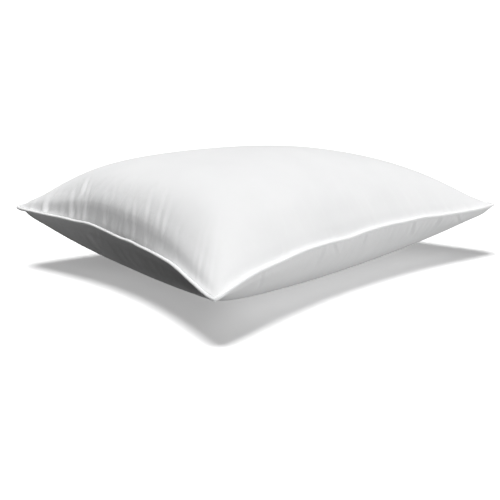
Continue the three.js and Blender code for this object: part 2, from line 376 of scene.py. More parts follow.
def seam_rise(u, v):
    """How far the seam, carried across the pillow, is above its mean height."""
    rise = SIDE_RISE * (u * u * (1 - v * v) + v * v * (1 - u * u))
    for corner in CORNERS:
        near = near_corner(u, v, corner)
        rise = rise + corner["lift"] * near ** LIFT_POWER + corner["ear"] * near ** EAR_POWER
    round_it = np.arctan2(v, u)
    by_the_seam = np.maximum(np.abs(u), np.abs(v)) ** WAVE_POWER
    for waves, height, phase in SEAM_WAVES:
        rise = rise + height * np.sin(waves * round_it + phase) * by_the_seam
    return rise


def ease(share):
    """A share from 0 to 1, eased at both ends."""
    share = np.clip(share, 0, 1)
    return share * share * (3 - 2 * share)


def cells_from_edge(rows, columns):
    """How many cells each point of a grid is from its nearest edge."""
    row, column = np.meshgrid(np.arange(rows), np.arange(columns), indexing="ij")
    return np.minimum.reduce([row, rows - 1 - row, column, columns - 1 - column])


def edge_depth(rows, columns):
    """How far each point of the shell's flat cloth is from its nearest edge."""
    return cells_from_edge(rows, columns) * SHELL_LENGTH / (columns - 1)


def margin_flatness(u):
    """The turned-in allowances hold the cloth flat beside the seam, most of all at the end at u = -1:
    its share of the full rise there."""
    hold = MARGIN_HOLD * (0.1 + 0.9 * ((1 - u) / 2) ** 3)
    return 1 - hold * (1 - ease(edge_depth(*u.shape) / MARGIN))


def calmed(points, passes):
    """A panel's points evened out with their neighbours', its edge left where it is."""
    made = points.copy()
    for _ in range(passes):
        middle = made[1:-1, 1:-1]
        around = made[:-2, 1:-1] + made[2:, 1:-1] + made[1:-1, :-2] + made[1:-1, 2:]
        made[1:-1, 1:-1] = middle + 0.2 * (around - 4 * middle)
    return made


def crease(form, flat):
    """Press the creases of each side into the panels."""
    draw = np.random.default_rng(SEED + 6)
    normal = unit(outward(form))
    made = form.copy()
    for panel, side, count, span, dent, reaches, slant, vary in CREASES:
        axis = 0 if side[0] == "u" else 1
        sign = 1 if side[1] == "+" else -1
        half = (SHELL_LENGTH, SHELL_WIDTH)[axis] / 2
        other = (SHELL_LENGTH, SHELL_WIDTH)[1 - axis] / 2
        depth = half - sign * flat[..., axis]
        place = flat[..., 1 - axis]
        total = np.zeros(depth.shape)
        for at in np.sort(draw.uniform(*span, count)) * other:
            width = draw.uniform(*CREASE_WIDTH) * MM
            reach = draw.uniform(*reaches) * MM
            lean = slant + draw.normal() * vary - CREASE_FAN * at / other
            deep = dent * MM * draw.uniform(*CREASE_DEPTH_RANGE)
            bend = CREASE_BEND * np.sin(depth / (12 * MM + 0.2 * reach))
            across = (place - at - lean * depth + bend) / width
            fade = ease(1 - depth / reach) * np.clip(depth / (6 * MM), 0.15, 1)
            ridge = RIDGE_SHARE * np.exp(-((across - RIDGE_PLACE) / RIDGE_WIDTH) ** 2)
            total += deep * fade * (ridge - np.exp(-across ** 2))
        made[panel] += normal[panel] * total[..., None]
    return made


def lie(form):
    """The filled shell as it lies on the floor: its corners lifted, its crown leaning, its belly flat."""
    rows, columns = form.shape[1:3]
    u, v = np.meshgrid(np.linspace(-1, 1, columns), np.linspace(-1, 1, rows))
    rise = seam_rise(u, v)
    ears = sum(near_corner(u, v, corner) ** FLAT_POWER for corner in CORNERS)
    form = form.copy()
    for panel, calm in ((0, ((1 - v) / 2) ** 3), (1, ((1 - u) / 2) ** 3)):
        form[panel] += (calmed(form[panel], CALMING) - form[panel]) * calm[..., None]
    made = form.copy()
    for panel, shape in ((0, CROWN), (1, BELLY)):
        height = form[panel, ..., 2]
        share = np.clip(height / np.abs(height).max() * (1 - 2 * panel), 0, 1)
        scale = shape["scale"] * (1 + shape["u"] * u + shape["v"] * v)
        scale = scale * (1 + shape["fullness"] * (1 - share)) * (1 - shape["flat"] * ears)
        if panel == 0:
            end = ((1 - u) / 2) ** 3 * (1 - v * v) ** 1.6 * (1 + END_SLANT * v)
            scale = scale * np.maximum(share, 0.02) ** (-END_FULLNESS * end)
        scale = scale * margin_flatness(u)
        made[panel, ..., 2] = SEAM_HEIGHT + height * scale + rise
    made[..., 2] = np.maximum(made[..., 2], 0)
    made[..., 0] -= END_PULL * (1 - v * v) * u * np.abs(u)
    made[..., 1] -= SIDE_PULL * (1 - u * u) * v * np.abs(v)
    for axis in (0, 1):
        seam = made[0, ..., axis]
        made[..., axis] -= (seam.max() + seam.min()) / 2
    return made


# ---------------------------------------------------------------- meshes

def grid_index(rows, columns, first=0):
    """The point numbers of a grid, counted from the first."""
    return first + np.arange(rows * columns).reshape(rows, columns)


def grid_quads(index, flip=False):
    """The faces of a grid of point numbers, facing up where columns run along X and rows along Y."""
    corners = [index[:-1, :-1], index[:-1, 1:], index[1:, 1:], index[1:, :-1]]
    made = np.stack([corner.ravel() for corner in corners], axis=1)
    return made[:, ::-1] if flip else made


def ring_quads(near, far):
    """The faces between two closed rings of point numbers."""
    return np.stack([near, np.roll(near, -1), np.roll(far, -1), far], axis=1)


def edge_loop(grid):
    """The edge of a grid, once round from its first corner: along X, along Y, and back."""
    return np.concatenate([grid[0, :-1], grid[:-1, -1], grid[-1, :0:-1], grid[:0:-1, 0]])


def new_piece(node, points, faces, material, slot, cloth=None):
    """A smooth closed mesh that stands for a node of the model. cloth is where each point is on the
    flat cloth, or along and round a thread."""
    name = node + "_cloth" if slot in ("percale", "piping", "ticking", "label") else node + "_soft"
    mesh = bpy.data.meshes.new(name)
    mesh.from_pydata(np.asarray(points).reshape(-1, 3).tolist(), [], faces)
    shape = bmesh.new()
    shape.from_mesh(mesh)
    bmesh.ops.recalc_face_normals(shape, faces=shape.faces)
    shape.to_mesh(mesh)
    shape.free()
    mesh.update()
    mesh.polygons.foreach_set("use_smooth", [True] * len(mesh.polygons))
    if cloth is not None:
        layer = mesh.attributes.new("cloth", "FLOAT_VECTOR", "POINT")
        layer.data.foreach_set("vector", np.asarray(cloth, dtype=np.float32).ravel())
    mesh.materials.append(material)
    piece = bpy.data.objects.new(name, mesh)
    bpy.context.scene.collection.objects.link(piece)
    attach(piece, "root")
    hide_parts(node)
    return piece


def tube(rings, closed):
    """The points and faces of a tube through rings of points, (rings, around, 3)."""
    count, around = rings.shape[:2]
    index = grid_index(count, around)
    loop = np.concatenate([index, index[:, :1]], axis=1)
    if closed:
        return rings, grid_quads(np.concatenate([loop, loop[:1]]), flip=True).tolist()
    caps = [index[0].tolist(), index[-1][::-1].tolist()]
    return rings, grid_quads(loop, flip=True).tolist() + caps


def round_rings(path, radius, around, closed, lobes=0, turns=0.0):
    """Rings of points round a path, (rings, around, 3), as a plain or a twisted thread."""
    if closed:
        ahead = unit(np.roll(path, -1, axis=0) - np.roll(path, 1, axis=0))
    else:
        ahead = unit(np.gradient(path, axis=0))
    side = unit(np.cross(ahead, [0.0, 0.0, 1.0]) + 1e-6)
    over = np.cross(side, ahead)
    angle = np.linspace(0, math.tau, around, endpoint=False)[None, :]
    twist = np.linspace(0, math.tau * turns, len(path), endpoint=False)[:, None]
    depth = STRAND_DEPTH if lobes else 0
    reach = radius * (1 + depth * np.cos(lobes * angle + twist))
    return (
        path[:, None]
        + side[:, None] * (reach * np.cos(angle))[..., None]
        + over[:, None] * (reach * np.sin(angle))[..., None]
    )


def soft_noise(draw, shape, passes):
    """A field of smooth random lumps, about -1 to 1, that repeats along its first axis."""
    field = draw.normal(size=shape)
    for _ in range(passes):
        for axis in range(field.ndim):
            if field.shape[axis] > 2:
                field = (np.roll(field, 1, axis) + 2 * field + np.roll(field, -1, axis)) / 4
    return field / (2 * field.std())


# ---------------------------------------------------------------- the seam line

def seam_frames(form):
    """The seam, once round: its points, and the directions outward and up at each."""
    rows, columns = form.shape[1:3]
    row, column = np.meshgrid(np.arange(rows), np.arange(columns), indexing="ij")
    depth = max(2, round(8 * MM / (SHELL_LENGTH / columns)))
    row = np.clip(edge_loop(row), depth, rows - 1 - depth)
    column = np.clip(edge_loop(column), depth, columns - 1 - depth)
    point = edge_loop(form[0])
    inside = (form[0, row, column] + form[1, row, column]) / 2
    along = unit(np.roll(point, -1, axis=0) - np.roll(point, 1, axis=0))
    out = unit(point - inside)
    for _ in range(6):
        out = (np.roll(out, 1, axis=0) + 2 * out + np.roll(out, -1, axis=0)) / 4
        along = (np.roll(along, 1, axis=0) + 2 * along + np.roll(along, -1, axis=0)) / 4
    along = unit(along)
    out = unit(out - along * (out * along).sum(axis=-1, keepdims=True))
    steps = np.linalg.norm(np.roll(point, -1, axis=0) - point, axis=-1)
    return {
        "point": point,
        "out": out,
        "up": np.cross(out, along),
        "run": np.concatenate([[0], np.cumsum(steps)[:-1]]),
        "length": steps.sum(),
    }


def on_seam(seam, run, out, up):
    """Points by their distance along the seam, outward from it, and up from its middle."""
    def at(values):
        return np.stack([
            np.interp(run, seam["run"], values[:, axis], period=seam["length"]) for axis in range(3)
        ], axis=-1)

    out = np.broadcast_to(out, np.shape(run))[..., None]
    up = np.broadcast_to(up, np.shape(run))[..., None]
    return at(seam["point"]) + unit(at(seam["out"])) * out + unit(at(seam["up"])) * up


def nearest_run(seam, x, y):
    """How far along the seam its point nearest to a place in plan is."""
    gap = np.hypot(seam["point"][:, 0] - x, seam["point"][:, 1] - y)
    return seam["run"][int(np.argmin(gap))]


# ---------------------------------------------------------------- materials

def add(tree, kind, inputs=None, **settings):
    """A shader node. Each input is a value, or an output of another node."""
    made = tree.nodes.new("ShaderNode" + kind)
    for key, value in settings.items():
        setattr(made, key, value)
    for key, value in (inputs or {}).items():
        if isinstance(value, bpy.types.NodeSocket):
            tree.links.new(value, made.inputs[key])
        else:
            made.inputs[key].default_value = value
    return made


def new_material(name, sheen=0.0, specular=0.3):
    """A new material, its node tree and its shader."""
    made = bpy.data.materials.new(name)
    made.use_nodes = True
    shader = made.node_tree.nodes["Principled BSDF"]
    shader.inputs["Sheen Weight"].default_value = sheen
    shader.inputs["Sheen Roughness"].default_value = 0.5
    shader.inputs["Specular IOR Level"].default_value = specular
    return made, made.node_tree, shader


def place(tree, attribute=None):
    """Where a point is on the flat cloth, or in the piece where it has no cloth of its own."""
    if attribute:
        return add(tree, "Attribute", attribute_name=attribute).outputs["Vector"]
    return add(tree, "TexCoord").outputs["Object"]


def noise(tree, where, scale, detail=3.0, stretch=None):
    """Smooth noise, 0 to 1. stretch scales the place along each axis first."""
    if stretch:
        where = add(tree, "VectorMath", {0: where, 1: stretch}, operation="MULTIPLY").outputs["Vector"]
    return add(tree, "TexNoise", {"Vector": where, "Scale": scale, "Detail": detail}).outputs["Fac"]


def shades(tree, amount, dark, light):
    """A colour between two, by an amount from about 0.3 to 0.7."""
    ramp = add(tree, "ValToRGB", {"Fac": amount})
    ramp.color_ramp.elements[0].position = 0.3
    ramp.color_ramp.elements[0].color = (*dark, 1)
    ramp.color_ramp.elements[1].position = 0.7
    ramp.color_ramp.elements[1].color = (*light, 1)
    return ramp.outputs["Color"]


def between(tree, amount, low, high):
    """A number between two, by an amount from 0 to 1."""
    return add(tree, "MapRange", {"Value": amount, "To Min": low, "To Max": high}).outputs["Result"]


def wave(tree, value, pitch):
    """A sine of a length, with that pitch."""
    turned = add(tree, "Math", {0: value, 1: math.tau / pitch}, operation="MULTIPLY").outputs[0]
    return add(tree, "Math", {0: turned}, operation="SINE").outputs[0]


def plain_weave(tree, where, pitch):
    """The over and under of a plain weave, -1 to 1."""
    parts = add(tree, "SeparateXYZ", {0: where}).outputs
    first = wave(tree, parts[0], pitch)
    second = wave(tree, parts[1], pitch)
    return add(tree, "Math", {0: first, 1: second}, operation="MULTIPLY").outputs[0]


def bumps(tree, shader, layers):
    """Bumps on top of each other: (height, depth in metres)."""
    normal = None
    for height, depth in layers:
        inputs = {"Height": height, "Distance": depth, "Strength": 1.0}
        if normal:
            inputs["Normal"] = normal
        normal = add(tree, "Bump", inputs).outputs["Normal"]
    tree.links.new(normal, shader.inputs["Normal"])


def cloth_material(name, dark, light, pitch, weave_depth, slub_depth, crease_depth,
                   sheen=0.12, bias=False):
    """Plain-woven cloth: its weave, uneven threads, faint creases, and a slight change of shade."""
    made, tree, shader = new_material(name, sheen=sheen)
    where = place(tree, "cloth")
    if bias:
        turn = {"Vector": where, "Angle": math.radians(45)}
        where = add(tree, "VectorRotate", turn, rotation_type="Z_AXIS").outputs["Vector"]
    tree.links.new(shades(tree, noise(tree, where, 9), dark, light), shader.inputs["Base Color"])
    slubs = add(tree, "Math", {
        0: noise(tree, where, 900, 2, (1.0, 0.06, 1.0)),
        1: noise(tree, where, 900, 2, (0.06, 1.0, 1.0)),
    }, operation="ADD").outputs[0]
    tree.links.new(between(tree, noise(tree, where, 60), 0.78, 0.92), shader.inputs["Roughness"])
    bumps(tree, shader, [
        (noise(tree, where, 34, 4), crease_depth),
        (slubs, slub_depth),
        (plain_weave(tree, where, pitch), weave_depth),
    ])
    return made


def thread_material(name, dark, light, lay_pitch):
    """Spun thread or cord: strands that wind round it, and a soft fuzz."""
    made, tree, shader = new_material(name, sheen=0.25, specular=0.4)
    where = place(tree, "cloth")
    parts = add(tree, "SeparateXYZ", {0: where}).outputs
    slant = add(tree, "Math", {0: parts[0], 1: parts[1]}, operation="ADD").outputs[0]
    strands = wave(tree, slant, lay_pitch)
    tree.links.new(shades(tree, noise(tree, where, 700), dark, light), shader.inputs["Base Color"])
    tree.links.new(between(tree, noise(tree, where, 300), 0.5, 0.75), shader.inputs["Roughness"])
    bumps(tree, shader, [(strands, 0.05 * MM), (noise(tree, where, 2500), 0.03 * MM)])
    return made


def filling_material(name, dark, light, scale, stretch):
    """Loose filling: tufts and fibres, soft all over."""
    made, tree, shader = new_material(name, sheen=0.5, specular=0.15)
    where = place(tree)
    tufts = noise(tree, where, scale, 8, stretch)
    cells = add(tree, "TexVoronoi", {"Vector": where, "Scale": scale * 1.6}, feature="SMOOTH_F1")
    tree.links.new(shades(tree, tufts, dark, light), shader.inputs["Base Color"])
    tree.links.new(between(tree, tufts, 0.85, 1.0), shader.inputs["Roughness"])
    bumps(tree, shader, [(cells.outputs["Distance"], 4 * MM), (tufts, 3 * MM)])
    return made


PERCALE = cloth_material("percale", (0.765, 0.768, 0.772), (0.80, 0.802, 0.805), 0.5 * MM,
                         0.012 * MM, 0.02 * MM, 0.5 * MM)
TAPE = cloth_material("piping_tape", (0.84, 0.845, 0.85), (0.885, 0.885, 0.885), 0.6 * MM,
                      0.02 * MM, 0.03 * MM, 0.12 * MM, bias=True)
TICKING = cloth_material("ticking", (0.70, 0.69, 0.66), (0.77, 0.76, 0.72), 0.45 * MM,
                         0.014 * MM, 0.02 * MM, 0.4 * MM)
LABEL = cloth_material("label_satin", (0.80, 0.80, 0.80), (0.85, 0.85, 0.84), 0.4 * MM,
                       0.01 * MM, 0.012 * MM, 0.1 * MM, sheen=0.3)
THREAD = thread_material("thread", (0.76, 0.76, 0.75), (0.86, 0.86, 0.85), 0.35 * MM)
CORD = thread_material("piping_cord", (0.72, 0.70, 0.66), (0.80, 0.78, 0.74), 1.6 * MM)
DOWN = filling_material("down", (0.80, 0.79, 0.77), (0.90, 0.89, 0.87), 90, None)
FEATHERS = filling_material("feathers", (0.66, 0.63, 0.58), (0.84, 0.82, 0.78), 60, (1.0, 0.35, 1.0))


# ---------------------------------------------------------------- shell

def seam_plane(rows, columns):
    """The height of the seam, carried smoothly across the pillow."""
    u, v = np.meshgrid(np.linspace(-1, 1, columns), np.linspace(-1, 1, rows))
    return SEAM_HEIGHT + seam_rise(u, v)


def spread_edges(form, seam):
    """Hold the two panels apart round the edge, where their turned-in allowances lie between them."""
    rows, columns = form.shape[1:3]
    over = np.zeros((rows, columns, 3))
    over[..., 2] = 1
    ring = edge_loop(grid_index(rows, columns))
    for _ in range(12):
        over.reshape(-1, 3)[ring] = seam["up"]
        over[1:-1, 1:-1] = (over[:-2, 1:-1] + over[2:, 1:-1] + over[1:-1, :-2] + over[1:-1, 2:]) / 4
    over.reshape(-1, 3)[ring] = seam["up"]
    over = unit(over)
    made = form.copy()
    overlap = np.minimum(((form[0] - form[1]) * over).sum(axis=-1, keepdims=True), 0)
    fade = ease((SPREAD_REACH - edge_depth(rows, columns)) / SPREAD_FADE)
    rise = FOLD_RISE * fade[..., None] - overlap / 2
    made[0] += over * rise
    made[1] -= over * rise
    return made


# The cloth's way round the seam from the panel to its cut edge: (outward, up), outside and inside
FOLD_OUTSIDE = [
    (0.30, 1.60), (0.45, 1.25), (0.35, 0.88), (0.0, 0.72), (-2, 0.7), (-5.5, 0.7), (-9, 0.7),
]
FOLD_INSIDE = [
    (-0.02, 1.42), (0.08, 1.25), (0.05, 1.12), (-0.2, 1.06), (-2, 1.05), (-5.5, 1.05), (-9, 1.05),
]


def shell_panel(name, form, seam, panel, flat):
    """One panel of the shell: its face, its back, and its allowance turned in at the seam."""
    side = 1 - 2 * panel
    rows, columns = form.shape[1:3]
    face = form[panel]
    back = face - unit(outward(form))[panel] * CLOTH
    count = rows * columns
    index = [grid_index(rows, columns), grid_index(rows, columns, count)]
    points = [face.reshape(-1, 3), back.reshape(-1, 3)]
    place = [flat.reshape(-1, 2), flat.reshape(-1, 2)]
    edge = edge_loop(flat)
    faces = grid_quads(index[0]).tolist() + grid_quads(index[1], flip=True).tolist()
    last = [edge_loop(index[0]), edge_loop(index[1])]
    first = 2 * count
    for outside, inside in zip(FOLD_OUTSIDE, FOLD_INSIDE):
        for layer, (out, up) in enumerate((outside, inside)):
            ring = first + np.arange(len(edge))
            first += len(edge)
            points.append(on_seam(seam, seam["run"], out * MM, side * up * MM))
            place.append(edge * (1 + (0.5 - out) * MM / (SHELL_LENGTH / 2)))
            faces += ring_quads(last[layer], ring).tolist()
            last[layer] = ring
    faces += ring_quads(last[0], last[1]).tolist()
    place = np.concatenate(place)
    cloth = np.concatenate([place, np.full((len(place), 1), 0.4 * panel)], axis=1)
    piece = new_piece(name, np.concatenate(points), faces, PERCALE, "percale", cloth)
    return piece


# ---------------------------------------------------------------- piping

def tape_profile():
    """The tape's closed section round the cord, with its two flanges: (outward, up)."""
    def bend(radius, opening, steps):
        angle = np.linspace(math.pi - opening, opening - math.pi, steps)
        return [(TAPE_CENTRE + radius * math.cos(a), radius * math.sin(a)) for a in angle]

    outer = TAPE_HALF_GAP + TAPE_THICKNESS
    flange = [(-FLANGE_DEPTH, outer), (-5 * MM, outer), (-1.2 * MM, outer), (0.2 * MM, outer + 0.1 * MM)]
    lining = [(out * MM, TAPE_HALF_GAP) for out in (0.7, -1.2, -5)] + [(-FLANGE_DEPTH, TAPE_HALF_GAP)]
    mirrored = [(out, -up) for out, up in reversed(flange)]
    outside = flange + bend(TAPE_RADIUS, math.radians(26), 17) + mirrored
    inside = bend(TAPE_RADIUS - TAPE_THICKNESS, math.radians(22), 13)[::-1]
    inside = [(out, -up) for out, up in reversed(lining)] + inside + lining
    return np.array(outside + inside)


def piping_tape(seam):
    """Bias tape folded round the cord, drawn into faint slanting folds by the stitching."""
    section = tape_profile()
    run = seam["run"]
    reach = np.hypot(section[:, 0] - TAPE_CENTRE, section[:, 1])
    on_cord = (section[:, 0] > 0.6 * MM) & (reach > TAPE_RADIUS - TAPE_THICKNESS / 2)
    angle = np.arctan2(section[:, 1], section[:, 0] - TAPE_CENTRE)
    draw = np.random.default_rng(SEED + 1)
    uneven = soft_noise(draw, (len(run), 1), 3) * 0.08 * MM
    slant = np.sin(math.tau * run[:, None] / (5.5 * MM) + 2.2 * angle[None, :]) * 0.045 * MM
    swell = np.where(on_cord, uneven + slant, 0)
    out = section[None, :, 0] + swell * np.cos(angle)
    up = section[None, :, 1] + swell * np.sin(angle)
    rings = np.stack([on_seam(seam, run, out[:, k], up[:, k]) for k in range(len(section))], axis=1)
    points, faces = tube(rings, closed=True)
    around = np.concatenate([[0], np.cumsum(np.linalg.norm(np.diff(section, axis=0), axis=1))])
    cloth = np.zeros(rings.shape)
    cloth[..., 0] = run[:, None]
    cloth[..., 1] = around[None, :]
    return new_piece("piping_tape", points, faces, TAPE, "piping", cloth)


def thread_piece(name, path, radius, around, closed, material, slot, lobes=0, lay=None):
    """A thread or cord along a path. lay is the length in which its strands go once round."""
    steps = np.linalg.norm(np.diff(path, axis=0), axis=-1)
    run = np.concatenate([[0], np.cumsum(steps)])
    turns = round(run[-1] / lay) if lay else 0
    rings = round_rings(path, radius, around, closed, lobes, turns)
    points, faces = tube(rings, closed)
    cloth = np.zeros(rings.shape)
    cloth[..., 0] = run[:, None]
    cloth[..., 1] = radius * np.linspace(0, math.tau, around, endpoint=False)[None, :]
    return new_piece(name, points, faces, material, slot, cloth)


def piping_cord(seam):
    """The twisted cord inside the tape, once round the pillow."""
    run = np.linspace(0, seam["length"], round(seam["length"] / MM), endpoint=False)
    path = on_seam(seam, run, TAPE_CENTRE, 0)
    return thread_piece("piping_cord", path, CORD_RADIUS, 12, True, CORD, "cord", lobes=3, lay=9 * MM)


# ---------------------------------------------------------------- stitches

def lockstitch(name, seam, side, out, rise):
    """One thread of the seam: flat along its side of the cloth, and down into each needle hole."""
    count = round(seam["length"] / STITCH)
    run = np.linspace(0, seam["length"], 4 * count, endpoint=False)
    up = np.where(np.arange(4 * count) % 4 == 0, 0.15 * MM, rise)
    path = on_seam(seam, run, out, side * up)
    return thread_piece(name, path, THREAD_RADIUS, 6, True, THREAD, "thread")


def overlock(seam):
    """The thread that binds the cut edges of the allowances, in long loops."""
    count = round(seam["length"] / OVERLOCK_STITCH)
    run = np.linspace(0, seam["length"], 8 * count, endpoint=False)
    turn = math.tau * np.arange(8 * count) / 8
    out = -FLANGE_DEPTH + OVERLOCK_REACH * np.cos(turn)
    up = OVERLOCK_RISE * np.sin(turn)
    path = on_seam(seam, run, out, up)
    return thread_piece("overlock_thread", path, OVERLOCK_RADIUS, 5, True, THREAD, "thread")


def closing_stitches(seam):
    """The slip stitches that shut the filling opening, in the crease over the piping."""
    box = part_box("closing_thread")
    middle = nearest_run(seam, HALF_LENGTH, (box[0][1] + box[1][1]) / 2)
    half = (box[1][1] - box[0][1]) / 2
    run = np.linspace(middle - half, middle + half, 6 * CLOSING_STITCHES + 1)
    phase = np.arange(len(run)) % 6
    out = np.array([0.15, 0.0, 0.1, 1.2, 1.6, 1.1])[phase] * MM
    up = np.array([2.15, 1.9, 2.1, 2.3, 2.05, 2.3])[phase] * MM
    path = on_seam(seam, run, out, up)
    return thread_piece("closing_thread", path, HEAVY_THREAD_RADIUS, 6, False, THREAD, "thread")


# ---------------------------------------------------------------- label

def care_label(seam):
    """A blank label: a strip folded in half, its ends caught in the back seam under the piping."""
    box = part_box("care_label")
    centre = nearest_run(seam, (box[0][0] + box[1][0]) / 2, PIPING_BACK)
    half = LABEL_HALF_WIDTH
    down = [(-7.0, -0.85), (-3.0, -0.9), (-0.5, -1.3), (1.2, -2.3), (3.4, -3.1), (5.6, -4.0)]
    slope = LABEL_SLOPE
    out, up = down[-1]
    while len(down) < LABEL_STEPS:
        out += LABEL_STEP * math.cos(slope)
        up -= LABEL_STEP * math.sin(slope)
        slope = min(slope + LABEL_BEND, LABEL_HANG)
        down.append((out, up))
    path = np.array(down) * MM
    ahead = unit(np.gradient(path, axis=0))
    aside = np.stack([-ahead[:, 1], ahead[:, 0]], axis=1)
    gap = 0.22 * MM + 0.5 * MM * np.linspace(0, 1, len(path)) ** 2
    gap[-1] = 0.3 * MM
    over = path + aside * gap[:, None]
    under = path - aside * gap[:, None]
    middle = np.concatenate([over, [path[-1] + ahead[-1] * 0.7 * MM], under[::-1]])
    along = unit(np.gradient(middle, axis=0))
    thick = np.stack([-along[:, 1], along[:, 0]], axis=1) * LABEL_THICKNESS / 2
    run = centre + np.linspace(-half, half, 17)
    wave_out = 0.5 * MM * np.sin(np.linspace(0, 2.4, 17) * 2)
    layers = []
    for edge in (middle + thick, middle - thick):
        layer = []
        for step, place in enumerate(edge):
            sag = np.clip(place[0] / (20 * MM), 0, 1)
            layer.append(on_seam(seam, run, place[0] + sag * wave_out, place[1] + 0 * run))
        layers.append(np.array(layer))
    points = np.array(layers)
    count = points.shape[1] * points.shape[2]
    index = [grid_index(*points.shape[1:3]), grid_index(*points.shape[1:3], count)]
    faces = grid_quads(index[0]).tolist() + grid_quads(index[1], flip=True).tolist()
    faces += ring_quads(edge_loop(index[0]), edge_loop(index[1])).tolist()
    steps = np.concatenate([[0], np.cumsum(np.linalg.norm(np.diff(middle, axis=0), axis=1))])
    cloth = np.zeros(points.shape)
    cloth[..., 0] = run - centre
    cloth[..., 1] = steps[None, :, None]
    piece = new_piece("care_label", points, faces, LABEL, "label", cloth)
    return piece


# ---------------------------------------------------------------- inner pillow and filling

def core_form():
    """The inner pillow: the simulated one, drawn to the box that the model gives it."""
    form, flat = inflate(CORE_LENGTH, CORE_WIDTH, CORE_VOLUME, CORE_START, 2, 120, -1.0, SEED + 2)
    top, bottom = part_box("core_ticking_top"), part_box("core_ticking_bottom")
    low = np.minimum(top[0], bottom[0])
    high = np.maximum(top[1], bottom[1])
    was_low, was_high = form.min(axis=(0, 1, 2)), form.max(axis=(0, 1, 2))
    return low + (form - was_low) / (was_high - was_low) * (high - low), flat


def core_panel(name, form, panel, flat):
    """One ticking of the inner pillow, a little off the other one and off the feathers."""
    face = form[panel].copy()
    inward = unit(outward(form))[panel] * CLOTH
    face[..., 2] += (1 - 2 * panel) * TICKING_RISE
    points = np.stack([face, face - inward])
    rows, columns = form.shape[1:3]
    index = [grid_index(rows, columns), grid_index(rows, columns, rows * columns)]
    faces = grid_quads(index[0]).tolist() + grid_quads(index[1], flip=True).tolist()
    faces += ring_quads(edge_loop(index[0]), edge_loop(index[1])).tolist()
    cloth = np.zeros(points.shape)
    cloth[..., :2] = flat
    piece = new_piece(name, points, faces, TICKING, "ticking", cloth)
    return piece


def filling_piece(name, upper, lower, material, slot, seed):
    """A mass of filling between two surfaces of points that share their plan, (rows, columns, 3)."""
    draw = np.random.default_rng(seed)
    rows, columns = upper.shape[:2]
    lumps = soft_noise(draw, (rows, columns), 3) * LUMPS
    inner = np.minimum(1, cells_from_edge(rows, columns) / 3)
    thick = upper[..., 2] - lower[..., 2]
    upper = upper.copy()
    upper[..., 2] = np.maximum(upper[..., 2], lower[..., 2] + LEAST_FILL)
    upper[..., 2] += np.clip(lumps, -2 * MM, 0.8 * MM) * inner * np.clip(thick / (10 * MM), 0, 1)
    points = np.stack([upper, lower])
    index = [grid_index(rows, columns), grid_index(rows, columns, rows * columns)]
    faces = grid_quads(index[0]).tolist() + grid_quads(index[1], flip=True).tolist()
    faces += ring_quads(edge_loop(index[0]), edge_loop(index[1])).tolist()
    piece = new_piece(name, points, faces, material, slot)
    return piece


def core_height(tree, x, y, side):
    """The height of the inner pillow's top or bottom at a place in plan, or None beside it."""
    hit = tree.ray_cast(Vector((x, y, side * 1.0)), Vector((0, 0, -side)))
    return hit[0].z if hit[0] is not None else None


def down_fill(name, form, core, panel, seed):
    """The down over or under the inner pillow, inside its panel and clear of the seam."""
    side = 1 - 2 * panel
    step = 4 if form.shape[1] > 120 else 2
    rows, columns = form[panel, ::step, ::step].shape[:2]
    away = form[panel, ::step, ::step].copy()
    for _ in range(2):
        away[1:-1, 1:-1] = (away[:-2, 1:-1] + away[2:, 1:-1] + away[1:-1, :-2] + away[1:-1, 2:]) / 4
    middle = seam_plane(rows, columns)
    away[..., 0] *= 1 - FILL_INSET / HALF_LENGTH
    away[..., 1] *= 1 - FILL_INSET / HALF_WIDTH
    rise = np.maximum(side * (away[..., 2] - middle) * 0.96 - 4 * MM, 2.5 * MM)
    tree = BVHTree.FromPolygons(core[panel].reshape(-1, 3).tolist(),
                                grid_quads(grid_index(*core.shape[1:3])).tolist())
    near = away.copy()
    for row in range(rows):
        for column in range(columns):
            base = 0.8 * MM
            height = core_height(tree, away[row, column, 0], away[row, column, 1], side)
            if height is not None:
                base = max(base, side * (height - middle[row, column]) + 2 * MM)
            near[row, column, 2] = base
    near[1:-1, 1:-1, 2] = np.maximum.reduce([
        near[1:-1, 1:-1, 2], near[:-2, 1:-1, 2], near[2:, 1:-1, 2], near[1:-1, :-2, 2], near[1:-1, 2:, 2],
    ])
    for _ in range(3):
        smooth = near[..., 2].copy()
        smooth[1:-1, 1:-1] = np.maximum.reduce([
            smooth[1:-1, 1:-1],
            (near[:-2, 1:-1, 2] + near[2:, 1:-1, 2] + near[1:-1, :-2, 2] + near[1:-1, 2:, 2]) / 4,
        ])
        near[..., 2] = smooth
    rise = np.maximum(rise, near[..., 2] + 1.5 * MM)
    near[..., 2] = middle + side * near[..., 2]
    away[..., 2] = middle + side * rise
    upper, lower = (away, near) if side > 0 else (near, away)
    return filling_piece(name, upper, lower, DOWN, "down", seed)


# ---------------------------------------------------------------- build

